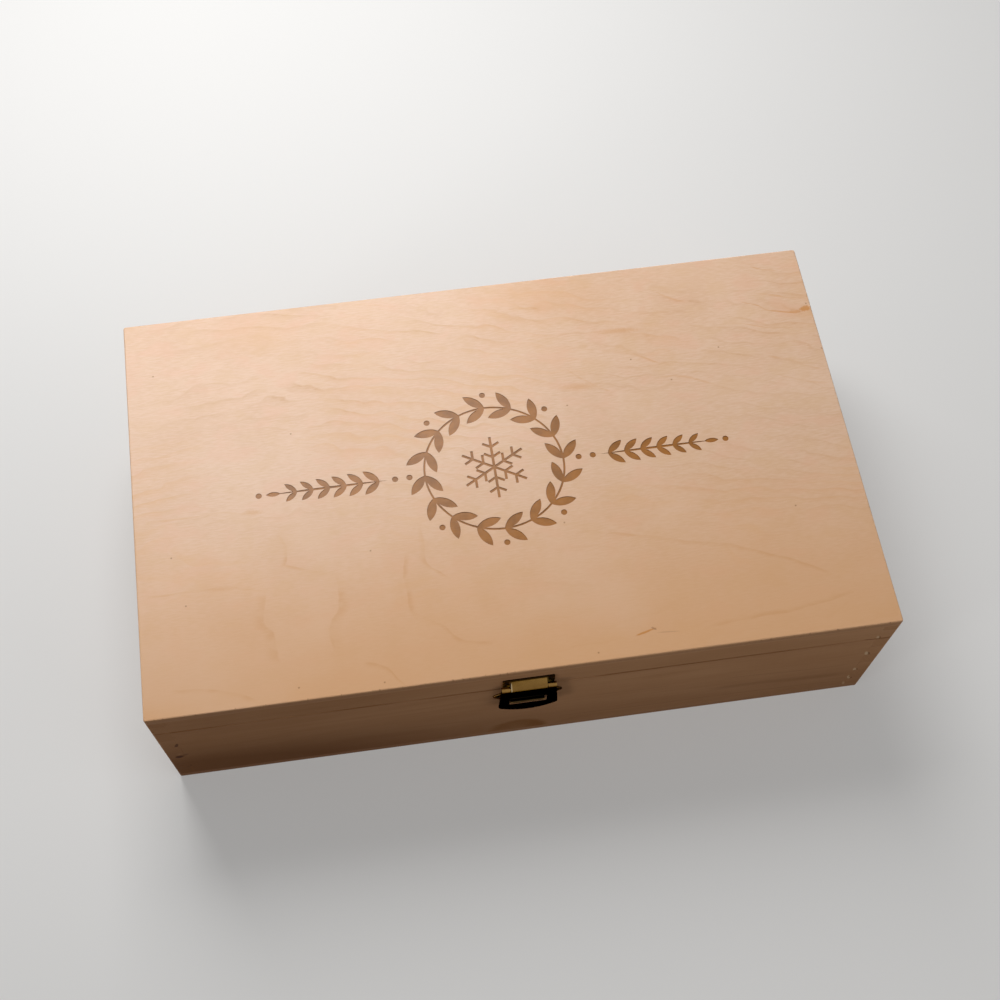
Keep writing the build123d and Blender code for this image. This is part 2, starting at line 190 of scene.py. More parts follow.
# Single growth rings on the front wall, in the same form
FRONT_RINGS = (
    ("x", ((30, 37.5), (50, 36.6), (75, 36.2)), 0.7, 0.5, 0.30),
    ("x", ((92, 36.5), (115, 35.2), (140, 33.0), (166, 32.2)), 0.9, 0.6, 0.28),
    ("x", ((8, 14.8), (40, 14.0), (75, 13.4), (105, 13.6)), 0.7, 0.5, 0.28),
    ("x", ((95, 13.8), (125, 12.6), (145, 11.6), (168, 10.2)), 0.8, 0.5, 0.30),
    ("x", ((90, 22.0), (110, 23.6), (140, 21.5), (168, 20.0)), 4.0, 4.0, 0.30),
    ("x", ((-62, 27.0), (-40, 25.5), (-22, 22.5)), 2.0, 0.8, 0.18),
    ("x", ((-100, 18.0), (-70, 19.5), (-40, 15.0)), 6.0, 6.0, 0.22),
    ("x", ((-168, 10.0), (-150, 11.0), (-128, 8.0)), 6.0, 5.0, 0.26),
)

# Marks on the front wall in the form of LID_MARKS: open joints, glue and filler at the finger ends
FRONT_MARKS = (
    ((-0.1676, 0.0444), (0.0032, 0.0009), 72, 0.4, 0.60, PITCH_BLACK, 0.75),
    ((-0.1665, 0.0370), (0.0060, 0.0004), 88, 0.4, 0.40, FLAKE, 0.45),
    ((-0.1702, 0.0352), (0.0050, 0.0004), 78, 0.4, 0.40, FLAKE, 0.40),
    ((-0.1686, 0.0350), (0.0040, 0.0013), 85, 0.4, 0.20, GLUE, 0.22),
    ((-0.1694, 0.0288), (0.0026, 0.0019), 20, 0.4, 0.40, KNOT, 1.00),
    ((-0.1694, 0.0288), (0.0026, 0.0018), 20, 0.4, 0.50, PITCH_BLACK, 0.95),
    ((-0.1662, 0.0306), (0.0024, 0.0014), 30, 0.6, 0.20, PITCH_BLACK, 0.45),
    ((-0.1676, 0.0142), (0.0017, 0.0010), 40, 0.6, 0.50, PITCH_BLACK, 0.65),
    ((-0.1688, 0.0734), (0.0044, 0.0040), 0, 0.6, 0.00, WALL_DARK_AND_SHADE, 0.50),
    ((-0.1690, 0.0558), (0.0046, 0.0026), 0, 0.6, 0.00, WALL_DARK_AND_SHADE, 0.50),
    ((-0.1744, 0.0660), (0.0016, 0.0012), 0, 0.6, 0.30, KNOT, 0.75),
    ((0.1640, 0.0626), (0.0040, 0.0008), -10, 0.6, 0.30, FLAKE, 0.65),
    ((0.1684, 0.0632), (0.0024, 0.0007), 104, 0.4, 0.50, WALL_DARK_AND_SHADE, 0.85),
    ((0.1674, 0.0638), (0.0028, 0.0008), 104, 0.4, 0.50, GLUE, 0.80),
    ((0.1672, 0.0734), (0.0030, 0.0009), 100, 0.4, 0.20, GLUE, 0.35),
    ((0.1672, 0.0550), (0.0034, 0.0007), 96, 0.4, 0.20, GLUE, 0.25),
    ((0.1687, 0.0440), (0.0026, 0.0008), 108, 0.4, 0.50, WALL_DARK_AND_SHADE, 0.90),
    ((0.1674, 0.0446), (0.0032, 0.0010), 108, 0.5, 0.50, GLUE, 0.90),
    ((0.1686, 0.0234), (0.0023, 0.0008), 108, 0.4, 0.50, WALL_DARK_AND_SHADE, 0.90),
    ((0.1673, 0.0242), (0.0027, 0.0010), 106, 0.5, 0.50, GLUE, 0.90),
    ((0.1690, 0.0212), (0.0016, 0.0007), 130, 0.4, 0.50, GLUE, 0.50),
    ((0.1683, 0.0134), (0.0024, 0.0008), 106, 0.4, 0.50, WALL_DARK_AND_SHADE, 0.90),
    ((0.1671, 0.0142), (0.0027, 0.0010), 106, 0.5, 0.50, GLUE, 0.85),
    ((0.1664, 0.0064), (0.0028, 0.0009), 104, 0.5, 0.30, GLUE, 0.45),
)

# The walls: whether the grain runs along X, the seed of the grain, the knot's place along the wall and height
# with its half sizes, the single rings and the marks
WALLS = (
    ("front", True, 2.0, (-0.0035, 0.0020, 0.0140, 0.0140), FRONT_RINGS, FRONT_MARKS),
    ("back", True, 7.0, (-0.070, 0.040, 0.010, 0.006), (), ()),
    ("left", False, 5.0, (0.030, 0.030, 0.008, 0.005), (), ()),
    ("right", False, 9.0, (-0.050, 0.052, 0.007, 0.005), (), ()),
)


class Shader:
    """One material, with short calls for the nodes that it is made of."""

    def __init__(self, name):
        self.material = bpy.data.materials.new(name)
        self.material.use_nodes = True
        self.tree = self.material.node_tree
        self.tree.nodes.clear()
        self.surface = self.add("ShaderNodeBsdfPrincipled")
        output = self.add("ShaderNodeOutputMaterial")
        self.tree.links.new(self.surface.outputs[0], output.inputs[0])
        coordinates = self.add("ShaderNodeTexCoord")
        self.place = coordinates.outputs["Object"]
        self.facing = coordinates.outputs["Normal"]

    def add(self, kind, **settings):
        node = self.tree.nodes.new(kind)
        for key, value in settings.items():
            setattr(node, key, value)
        return node

    def feed(self, socket, value):
        if isinstance(value, bpy.types.NodeSocket):
            self.tree.links.new(value, socket)
        else:
            socket.default_value = value

    def math(self, operation, *values):
        node = self.add("ShaderNodeMath", operation=operation)
        for socket, value in zip(node.inputs, values):
            self.feed(socket, value)
        return node.outputs[0]

    def total(self, *values):
        result = values[0]
        for value in values[1:]:
            result = self.math("ADD", result, value)
        return result

    def product(self, *values):
        result = values[0]
        for value in values[1:]:
            result = self.math("MULTIPLY", result, value)
        return result

    def root(self, first, second):
        """The square root of a sum."""
        return self.math("SQRT", self.math("ADD", first, second))

    def centred(self, value):
        return self.math("SUBTRACT", value, 0.5)

    def blend(self, share, first, second):
        """first where share is 0, and second where it is 1."""
        rest = self.math("SUBTRACT", 1.0, share)
        return self.math("ADD", self.math("MULTIPLY", first, rest), self.math("MULTIPLY", second, share))

    def axes(self, vector):
        node = self.add("ShaderNodeSeparateXYZ")
        self.feed(node.inputs[0], vector)
        return node.outputs

    def vector(self, x, y, z):
        node = self.add("ShaderNodeCombineXYZ")
        for socket, value in zip(node.inputs, (x, y, z)):
            self.feed(socket, value)
        return node.outputs[0]

    def step(self, value, low, high):
        """0 below low and 1 above high, smooth between them. It falls instead where low is the larger."""
        node = self.add("ShaderNodeMapRange", interpolation_type="SMOOTHSTEP")
        self.feed(node.inputs["Value"], value)
        if low < high:
            pairs = (("From Min", low), ("From Max", high), ("To Min", 0.0), ("To Max", 1.0))
        else:
            pairs = (("From Min", high), ("From Max", low), ("To Min", 1.0), ("To Max", 0.0))
        for key, number in pairs:
            node.inputs[key].default_value = number
        return node.outputs[0]

    def noise(self, place, scale, detail=2.0, roughness=0.5):
        node = self.add("ShaderNodeTexNoise")
        self.feed(node.inputs["Vector"], place)
        node.inputs["Scale"].default_value = scale
        node.inputs["Detail"].default_value = detail
        node.inputs["Roughness"].default_value = roughness
        return node.outputs["Fac"]

    def stretch(self, place, sizes, shift=(0, 0, 0)):
        node = self.add("ShaderNodeMapping")
        self.feed(node.inputs["Vector"], place)
        node.inputs["Scale"].default_value = sizes
        node.inputs["Location"].default_value = shift
        return node.outputs[0]

    def mix(self, factor, first, second):
        node = self.add("ShaderNodeMix", data_type="RGBA")
        self.feed(node.inputs[0], factor)
        self.feed(node.inputs[6], first)
        self.feed(node.inputs[7], second)
        return node.outputs[2]

    def metal_age(self):
        """0 where the plating is bright and 1 where it is dull, with a bump of rubbing marks and pits."""
        cloud = self.noise(self.place, 190.0, 2.0, 0.5)
        rub = self.noise(self.stretch(self.place, (500, 7000, 7000)), 1.0, 2.0)
        pits = self.noise(self.place, 4200.0, 2.0)
        self.bump(self.total(self.product(rub, 0.4), self.product(pits, 0.6)), 0.000012, 0.5)
        total = self.total(self.product(cloud, 1.0), self.product(rub, 0.25), self.product(pits, 0.15), -0.2)
        return self.step(total, 0.10, 0.90)

    def bump(self, height, distance, strength=1.0):
        node = self.add("ShaderNodeBump")
        self.feed(node.inputs["Height"], height)
        node.inputs["Distance"].default_value = distance
        node.inputs["Strength"].default_value = strength
        self.tree.links.new(node.outputs[0], self.surface.inputs["Normal"])

    def finish(self, colour, roughness, metallic=0.0):
        self.feed(self.surface.inputs["Base Color"], colour)
        self.feed(self.surface.inputs["Roughness"], roughness)
        self.surface.inputs["Metallic"].default_value = metallic
        return self.material


def birch_rings(shader, x, y):
    """Level lines of the growth rings: wide arcs at the back, and loops that point right at the front."""
    past = shader.math("ADD", x, 0.115)
    arcs = shader.total(y, shader.product(shader.root(shader.product(past, past), 0.0009), 0.24))
    flat = shader.product(shader.math("ADD", x, 0.020), 0.175)
    down = shader.math("ADD", y, 0.075)
    loops = shader.total(shader.root(shader.product(flat, flat), shader.product(down, down)), -0.037)
    return shader.blend(shader.step(y, -0.050, -0.020), loops, arcs)


def ring_line(shader, run, rise, points, lower, upper, wander):
    """One growth ring: 1 along a curve through the points, and fading to 0 on each side and at its ends."""
    first, last = points[0][0], points[-1][0]
    heights = [height for _, height in points]
    base = min(heights)
    span = max(heights) - base
    share = shader.product(shader.math("SUBTRACT", run, first / 1000), 1000 / (last - first))
    node = shader.add("ShaderNodeFloatCurve")
    shader.feed(node.inputs["Value"], share)
    curve = node.mapping.curves[0]
    places = [((at - first) / (last - first), (height - base) / span) for at, height in points]
    curve.points[0].location = places[0]
    curve.points[1].location = places[-1]
    for place in places[1:-1]:
        curve.points.new(*place)
    node.mapping.update()
    on_curve = shader.total(shader.product(node.outputs[0], span / 1000), base / 1000)
    off = shader.math("ADD", shader.math("SUBTRACT", rise, on_curve), wander)
    across = shader.product(shader.step(off, -lower / 1000, 0.0), shader.step(off, upper / 1000, 0.0))
    ends = shader.product(shader.step(share, 0.0, 0.18), shader.step(share, 1.0, 0.82))
    return shader.product(across, ends)


def ring_lines(shader, rings, u, v, wander):
    """Several single growth rings together."""
    lines = []
    for axis, points, lower, upper, share in rings:
        run, rise = (u, v) if axis == "x" else (v, u)
        lines.append(shader.product(ring_line(shader, run, rise, points, lower, upper, wander), share))
    return shader.total(*lines)


def birch_face(shader, place, seed, rings_table=(), resin_table=()):
    """Peeled birch veneer with its grain along X: its colour, and a height for the bump."""
    x, y, _ = shader.axes(place)
    sway = shader.noise(shader.stretch(place, (10, 20, 1), (seed, seed, 0)), 1.0, 2.0)
    ripple = shader.noise(shader.stretch(place, (45, 70, 1), (0, seed, seed)), 1.0, 2.0)
    fibre = shader.noise(shader.stretch(place, (150, 2100, 2100), (seed, 0, 0)), 1.0, 2.0, 0.6)
    dashes = shader.noise(shader.stretch(place, (230, 1300, 1300), (0, seed, 0)), 1.0, 2.0, 0.55)
    rings = shader.total(shader.product(birch_rings(shader, x, y), 128.0), shader.product(sway, 2.4),
                         shader.product(ripple, 1.8), shader.product(dashes, 0.25))
    phase = shader.math("FRACT", rings)
    late = shader.product(shader.step(phase, 0.30, 0.90), shader.step(phase, 1.0, 0.90))
    vein = shader.product(shader.step(phase, 0.78, 0.90), shader.step(phase, 1.0, 0.92))
    patches = shader.noise(shader.stretch(place, (9, 22, 1), (3, seed, 5)), 1.0, 1.0)
    pieces = shader.noise(shader.stretch(place, (34, 75, 1), (7, seed, 2)), 1.0, 1.0)
    calm = shader.math("MULTIPLY", shader.step(y, -0.005, -0.030), shader.step(x, 0.030, -0.010))
    fade = shader.product(shader.step(patches, 0.30, 0.72), shader.step(pieces, 0.36, 0.62),
                          shader.math("SUBTRACT", 1.0, shader.product(calm, 0.8)))
    mottle = shader.noise(shader.stretch(place, (30, 34, 10), (seed, 2, 7)), 1.0, 3.0, 0.55)
    tints = shader.noise(shader.stretch(place, (60, 95, 10), (2, seed, 9)), 1.0, 2.0)
    cloud = shader.noise(shader.stretch(place, (13, 17, 10), (4, seed, 1)), 1.0, 2.0)
    figure = shader.noise(shader.stretch(place, (75, 22, 10), (seed, 4, 1)), 1.0, 2.0)
    curly = shader.product(shader.step(y, 0.0, -0.05), shader.step(x, 0.08, -0.02))
    at_back = shader.step(y, 0.0, 0.05)
    at_left = shader.step(x, -0.03, -0.08)
    soft = shader.total(1.0, shader.product(at_back, shader.total(0.4, shader.product(at_left, 1.6))))
    crisp = shader.total(1.0, shader.product(at_back, shader.total(0.5, shader.product(at_left, -0.7))))
    depth = shader.total(
        shader.product(late, fade, soft, 0.15),
        shader.product(vein, fade, crisp, 0.27),
        shader.product(shader.centred(mottle), 0.60),
        shader.product(shader.centred(figure), curly, 0.65),
        shader.product(shader.centred(fibre), 0.40),
        shader.product(shader.centred(dashes), 0.85),
        0.30,
    )
    colour = shader.mix(shader.step(depth, 0.0, 0.6), BIRCH_LIGHT, BIRCH_MIDDLE)
    colour = shader.mix(shader.step(depth, 0.5, 1.5), colour, BIRCH_DARK)
    colour = shader.mix(shader.product(shader.step(tints, 0.50, 0.70), 0.35), colour, BIRCH_PINK)
    colour = shader.mix(shader.product(shader.step(tints, 0.50, 0.30), 0.25), colour, BIRCH_OLIVE)
    warm = shader.product(shader.step(cloud, 0.45, 0.75), shader.total(0.35, shader.product(late, 0.65)))
    colour = shader.mix(shader.product(warm, 0.45), colour, BIRCH_WARM)
    # Warmer towards the front, so that the back looks paler: a painted sheen at the back of the lid.
    colour = shader.mix(shader.product(shader.step(y, 0.02, -0.12), 0.85), colour, BIRCH_WARM)
    colour = shader.mix(shader.product(shader.step(cloud, 0.46, 0.25), 0.25), colour, BIRCH_PALE)
    if rings_table:
        wander = shader.product(shader.total(shader.centred(ripple), shader.centred(mottle)), 0.0040)
        breaks = shader.product(shader.total(0.35, shader.product(pieces, 0.6), shader.product(dashes, 0.4)),
                                shader.total(0.45, shader.step(tints, 0.40, 0.58)))
        brown = shader.product(ring_lines(shader, rings_table, x, y, wander), breaks)
        colour = shader.mix(brown, colour, BIRCH_RUST)
        resin = shader.product(ring_lines(shader, resin_table, x, y, wander), breaks)
        colour = shader.mix(resin, colour, PITCH)
    colour = shader.mix(shader.product(pin_specks(shader, place), 0.55), colour, SCORCH_DARK_AND_SHADE)
    height = shader.total(shader.product(fibre, 0.6), shader.product(dashes, 0.5),
                          shader.product(vein, -0.10))
    return colour, height


def pin_specks(shader, place):
    """A few dark pin specks, each at its own place in a coarse grid."""
    cells = shader.add("ShaderNodeTexVoronoi", voronoi_dimensions="2D")
    shader.feed(cells.inputs["Vector"], place)
    cells.inputs["Scale"].default_value = 21.0
    chosen = shader.step(shader.axes(cells.outputs["Color"])[0], 0.55, 0.56)
    return shader.product(chosen, shader.step(cells.outputs["Distance"], 0.012, 0.006))


def add_marks(shader, colour, place, marks):
    """The colour with every mark of a table mixed in: an oval spot with a ragged or soft edge."""
    edge = shader.centred(shader.noise(place, 900.0, 3.0))
    for centre, half_size, turn, ragged, core, tint, share in marks:
        moved = shader.stretch(place, (1, 1, 1), (-centre[0], -centre[1], 0))
        turned = shader.add("ShaderNodeVectorRotate", rotation_type="Z_AXIS")
        shader.feed(turned.inputs["Vector"], moved)
        turned.inputs["Angle"].default_value = math.radians(-turn)
        u, v, _ = shader.axes(turned.outputs[0])
        u = shader.product(u, 1 / half_size[0])
        v = shader.product(v, 1 / half_size[1])
        far = shader.root(shader.product(u, u), shader.product(v, v))
        inside = shader.step(shader.total(far, shader.product(edge, ragged)), 1.1, core)
        colour = shader.mix(shader.product(inside, share), colour, tint)
    return colour


def ply_edge(shader, place, low_z, high_z):
    """How dark the sawn edge of a plywood board is: its middle ply shows end grain."""
    z = shader.axes(place)[2]
    share = shader.product(shader.math("SUBTRACT", z, low_z), 1 / (high_z - low_z))
    core = shader.product(shader.step(share, 0.24, 0.29), shader.step(share, 0.76, 0.71))
    grain = shader.noise(shader.stretch(place, (900, 900, 260)), 1.0, 2.0)
    return shader.product(core, shader.total(0.02, shader.product(grain, 0.5)))


def birch_board(name, low_z, high_z, seed, rings_table=(), resin_table=(), ornament=False, edge_painted_shade=0.0):
    """A birch plywood board: veneer faces, sawn plywood edges and, on the lid, the burnt ornament, with
    painted shade on the faces towards the front and as much on the sawn edges as its edge argument gives.
    """
    shader = Shader(name)
    colour, height = birch_face(shader, shader.place, seed, rings_table, resin_table)
    x, y, z = shader.axes(shader.place)
    _, normal_y, normal_z = shader.axes(shader.facing)
    upright = shader.step(shader.math("ABSOLUTE", normal_z), 0.75, 0.35)
    colour = shader.mix(shader.product(upright, 0.92), colour, PLY_EDGE)
    # Painted shade on the faces towards the front, darkest at the lower left.
    colour = shader.mix(front_painted_shade(shader, x, z, normal_y), colour, PAINTED_SHADE_BROWN)
    # The first term is painted shade over the whole sawn edge; ply_edge adds the end grain of the middle ply.
    core = shader.product(upright, shader.total(edge_painted_shade, ply_edge(shader, shader.place, low_z, high_z)))
    colour = shader.mix(core, colour, WALL_DARK_AND_SHADE)
    if ornament:
        colour = add_marks(shader, colour, shader.place, LID_MARKS)
        nicks = shader.noise(shader.stretch(shader.place, (520, 300, 300)), 1.0, 2.0)
        rim = shader.product(shader.step(y, -half_depth + 0.0012, -half_depth + 0.0006),
                             shader.step(z, high_z - 0.0011, high_z - 0.0006))
        colour = shader.mix(shader.product(rim, shader.step(nicks, 0.62, 0.70), 0.45), colour, FLAKE)
        burnt = shader.product(
            shader.step(shader.math("ABSOLUTE", x), half_length - 0.004, half_length - 0.006),
            shader.step(shader.math("ABSOLUTE", y), half_depth - 0.004, half_depth - 0.006),
            shader.step(z, high_z - ORNAMENT_DEPTH * 0.1, high_z - ORNAMENT_DEPTH * 0.3),
            shader.step(z, high_z - ORNAMENT_DEPTH * 3, high_z - ORNAMENT_DEPTH * 2),
        )
        beam = shader.noise(shader.stretch(shader.place, (60, 4000, 1)), 1.0, 1.0)
        char = shader.noise(shader.place, 130.0, 3.0)
        scorch = shader.mix(shader.step(shader.total(shader.product(beam, 0.3), char), 0.4, 0.95),
                            SCORCH_LIGHT, SCORCH_DARK_AND_SHADE)
        colour = shader.mix(burnt, colour, scorch)
    shader.bump(height, 0.00005, 0.5)
    shader.surface.inputs["Specular IOR Level"].default_value = 0.17
    roughness = shader.total(0.18, shader.product(height, 0.10), shader.product(upright, 0.35))
    return shader.finish(colour, roughness)


def wall_board(name, along_x, seed, knot, rings_table, marks):
    """A sawn softwood wall board: long grain, one knot, end grain, and the marks of its finger joints, with
    painted shade towards the bottom, on the front and along the seam.
    """
    shader = Shader(name)
    x, y, z = shader.axes(shader.place)
    normal_x, normal_y, _ = shader.axes(shader.facing)
    if along_x:
        u, w, end_normal, half_run = x, y, normal_x, half_length
    else:
        u, w, end_normal, half_run = y, x, normal_y, half_depth
    place = shader.vector(u, z, w)
    sway = shader.noise(shader.stretch(place, (6, 30, 40), (seed, seed, 0)), 1.0, 2.0)
    ripple = shader.noise(shader.stretch(place, (25, 200, 200), (0, seed, 0)), 1.0, 2.0)
    fibre = shader.noise(shader.stretch(place, (110, 2200, 2200), (seed, 0, 0)), 1.0, 2.0, 0.6)
    streak = shader.noise(shader.stretch(place, (16, 420, 420), (0, 0, seed)), 1.0, 3.0, 0.6)
    broad = shader.noise(shader.stretch(place, (14, 50, 50), (2, seed, 0)), 1.0, 2.0)
    knot_u, knot_z, knot_length, knot_height = knot
    knot_along = shader.product(shader.math("SUBTRACT", u, knot_u), 1 / knot_length)
    knot_across = shader.product(shader.math("SUBTRACT", z, knot_z), 1 / knot_height)
    knot_far = shader.total(
        shader.root(shader.product(knot_along, knot_along), shader.product(knot_across, knot_across)),
        shader.product(shader.centred(broad), 0.5),
        shader.product(shader.centred(streak), 0.4),
    )
    knot_body = shader.product(
        shader.step(knot_far, 1.22, 0.80),
        shader.total(0.55, shader.product(shader.step(knot_far, 0.2, 0.95), 0.45)),
        shader.total(0.60, shader.product(shader.step(u, knot_u - knot_length, knot_u + knot_length), 0.40)),
    )
    knot_rim = shader.product(shader.step(knot_far, 1.45, 1.15), shader.step(knot_far, 1.0, 1.1))
    swell = shader.math("POWER", 2.718, shader.product(knot_far, knot_far, -0.5))
    rings = shader.total(
        shader.product(z, 90.0),
        shader.product(w, 45.0),
        shader.product(sway, 4.0),
        shader.product(ripple, 0.35),
        shader.product(streak, 0.3),
        shader.product(swell, 2.0),
    )
    phase = shader.math("FRACT", rings)
    late = shader.product(shader.step(phase, 0.25, 0.90), shader.step(phase, 1.0, 0.90))
    patches = shader.noise(shader.stretch(place, (9, 60, 60), (seed, 1, 2)), 1.0, 1.0)
    fade = shader.total(0.10, shader.step(patches, 0.40, 0.75))
    depth = shader.total(
        shader.product(late, fade, 0.20),
        shader.product(shader.centred(fibre), 0.34),
        shader.product(shader.centred(streak), 0.42),
        shader.product(shader.centred(broad), 0.85),
        shader.product(knot_body, 0.55),
        # Painted shade: darker towards the bottom.
        shader.product(shader.step(z, 0.035, 0.0), 0.16),
        0.34,
    )
    end = shader.step(shader.math("ABSOLUTE", end_normal), 0.6, 0.8)
    end_rings = shader.math("FRACT", shader.total(shader.product(z, 260.0), shader.product(w, 420.0), sway))
    end_pores = shader.noise(shader.place, 2600.0, 2.0)
    end_depth = shader.total(0.34, shader.product(end_rings, 0.14), shader.product(end_pores, 0.30))
    depth = shader.blend(end, depth, end_depth)
    colour = shader.mix(shader.step(depth, 0.0, 0.65), WALL_LIGHT, WALL_MIDDLE)
    colour = shader.mix(shader.step(depth, 0.5, 1.45), colour, WALL_DARK_AND_SHADE)
    if rings_table:
        wander = shader.product(shader.centred(ripple), 0.0015)
        dark = shader.product(ring_lines(shader, rings_table, u, z, wander), shader.total(0.5, patches))
        colour = shader.mix(dark, colour, WALL_DARK_AND_SHADE)
    colour = shader.mix(shader.product(knot_rim, 0.12), colour, WALL_LIGHT)
    # Painted shade on the faces towards the front, darkest at the lower left.
    colour = shader.mix(front_painted_shade(shader, x, z, normal_y), colour, PAINTED_SHADE_BROWN)
    colour = shader.mix(shader.product(knot_body, 0.85), colour, KNOT)
    # Painted shade along the seam between lid and body, where the chamfers would otherwise catch the light: a
    # soft band and a tight dark line, each stronger in patches that a noise sets.
    off_seam = shader.math("ABSOLUTE", shader.math("SUBTRACT", z, seam_z))
    worn = shader.step(shader.noise(shader.stretch(place, (22, 1, 1), (seed, 3, 0)), 1.0, 1.0), 0.36, 0.56)
    soft_share = shader.total(0.06, shader.product(worn, 0.40))
    soft_seam_shade = shader.product(shader.step(off_seam, 0.0016, 0.0004), soft_share)
    colour = shader.mix(soft_seam_shade, colour, WALL_DARK_AND_SHADE)
    tight_share = shader.total(0.20, shader.product(worn, 0.35))
    tight_seam_shade = shader.product(shader.step(off_seam, 0.00042, 0.00030), tight_share)
    colour = shader.mix(tight_seam_shade, colour, SCORCH_DARK_AND_SHADE)
    colour = shader.mix(joint_lines(shader, u, z, half_run, not marks), colour, SCORCH_DARK_AND_SHADE)
    if marks:
        colour = add_marks(shader, colour, place, marks)
    else:
        colour = shader.mix(glue_spots(shader, u, z, half_run), colour, GLUE)
    height = shader.total(shader.product(fibre, 0.5), shader.product(late, 0.3))
    shader.bump(height, 0.00006, 0.5)
    shader.surface.inputs["Specular IOR Level"].default_value = 0.05
    return shader.finish(colour, shader.total(0.55, shader.product(fibre, 0.12)))


def front_painted_shade(shader, x, z, normal_y):
    """How much painted shade darkens the front: a little all over, more towards the left and the bottom, most
    at its lower left.
    """
    at_left = shader.step(x, 0.06, -0.17)
    low = shader.product(shader.step(z, 0.052, 0.0), shader.total(0.30, shader.product(at_left, 0.46)))
    shade_share = shader.total(low, shader.product(at_left, 0.42), 0.05)
    return shader.product(shade_share, shader.step(normal_y, -0.5, -0.8))


def near_band(shader, z):
    """How far a height is from the nearest boundary between two fingers, as a share of a finger."""
    steps = shader.product(shader.math("SUBTRACT", z, bottom_board_z), 1 / finger_height)
    return shader.math("ABSOLUTE", shader.math("SUBTRACT", steps, shader.math("ROUND", steps)))


def joint_lines(shader, u, z, half_run, with_slits):
    """Fine dark lines where the fingers of two boards meet, open in a few places."""
    width = 0.00014
    inward = shader.math("SUBTRACT", half_run, shader.math("ABSOLUTE", u))
    share = width / finger_height
    level = shader.product(shader.step(near_band(shader, z), share, 0.3 * share),
                           shader.step(inward, wall + width, wall))
    upright = shader.step(shader.math("ABSOLUTE", shader.math("SUBTRACT", inward, wall)), width, 0.4 * width)
    broken = shader.step(shader.noise(shader.place, 260.0, 2.0), 0.46, 0.62)
    lines = shader.product(shader.math("MAXIMUM", level, upright),
                           shader.total(0.12, shader.product(broken, 0.60)))
    if not with_slits:
        return lines
    slit = shader.product(joint_slash(shader, u, z, half_run, 0.0009, 0.00055),
                          shader.step(shader.noise(shader.place, 85.0, 0.0), 0.44, 0.52))
    return shader.math("MAXIMUM", lines, shader.product(slit, 0.8))


def joint_slash(shader, u, z, half_run, inset, half_width):
    """1 in a short slanting slash at the inner end of each finger boundary, and 0 elsewhere."""
    inward = shader.math("SUBTRACT", half_run, shader.math("ABSOLUTE", u))
    steps = shader.product(shader.math("SUBTRACT", z, bottom_board_z), 1 / finger_height)
    above = shader.product(shader.math("SUBTRACT", steps, shader.math("ROUND", steps)), finger_height)
    lean = shader.total(inward, shader.product(above, -0.30), inset - wall)
    off_line = shader.product(lean, 1 / half_width)
    off_band = shader.product(above, 1 / 0.0019)
    far = shader.root(shader.product(off_line, off_line), shader.product(off_band, off_band))
    return shader.step(far, 1.1, 0.6)


def glue_spots(shader, u, z, half_run):
    """Pale smears of dried glue and filler at the inner ends of some fingers."""
    chosen = shader.step(shader.noise(shader.place, 95.0, 0.0), 0.40, 0.50)
    return shader.product(joint_slash(shader, u, z, half_run, -0.0001, 0.00042), chosen, 0.75)


def plated_metal(name, bright, dull, roughness, shadow_from=0.0):
    """Plated sheet metal with a cloudy patina and fine rubbing marks along X. Where shadow_from gives half
    the width of the hood, painted shadow turns the right wing and the top strip black and the left wing a
    little darker, painted shade dulls the hood towards the pin, and a painted highlight runs along its left
    edge."""
    shader = Shader(name)
    shader.surface.inputs["Specular Tint"].default_value = (0.80, 0.60, 0.32, 1)
    age = shader.metal_age()
    colour = shader.mix(age, bright, dull)
    if shadow_from:
        x, _, z = shader.axes(shader.place)
        # Painted shadow beside the hood: the right wing black, the left wing a little darker, and the top
        # strip above the hood black.
        right = shader.product(shader.step(x, shadow_from, shadow_from + 0.0003), 0.98)
        left = shader.product(shader.step(x, -shadow_from, -shadow_from - 0.0003), 0.05)
        bridge = shader.product(shader.step(z, bridge_z - 0.0002, bridge_z), 0.92)
        dark = shader.math("MAXIMUM", shader.math("MAXIMUM", right, left), bridge)
        # Painted shade: the hood duller towards the pin, where it curls under.
        hood_low = shader.step(z, latch_pin_z + 0.0040, latch_pin_z - 0.0012)
        colour = shader.mix(shader.product(hood_low, 0.75), colour, dull)
        colour = shader.mix(dark, colour, BRONZE_DARK_AND_SHADOW)
        # A painted highlight along the hood's left edge.
        rim = shader.product(shader.step(x, 0.0007 - shadow_from, 0.0004 - shadow_from),
                             shader.step(x, -shadow_from - 0.0002, -shadow_from),
                             shader.step(z, bridge_z - 0.0006, bridge_z - 0.0012))
        colour = shader.mix(shader.product(rim, 0.65), colour, BRASS_PAINTED_HIGHLIGHT)
    return shader.finish(colour, shader.total(roughness, shader.product(age, 0.14)), 1.0)


def blackened_metal(name, brass_mask, light_bronze, dark_bronze):
    """Dark bronze with brass mixed in where brass_mask(shader) says: the catch plate's ends, and painted
    highlights on the knuckles and the bead. On the catch plate the dark bronze is painted shade.
    """
    shader = Shader(name)
    age = shader.metal_age()
    bronze = shader.mix(age, light_bronze, dark_bronze)
    brass = shader.mix(age, BRASS_BRIGHT, BRASS_DULL)
    shader.surface.inputs["Specular Tint"].default_value = (0.22, 0.18, 0.13, 1)
    colour = shader.mix(brass_mask(shader), bronze, brass)
    return shader.finish(colour, shader.total(0.14, shader.product(age, 0.12)), 1.0)


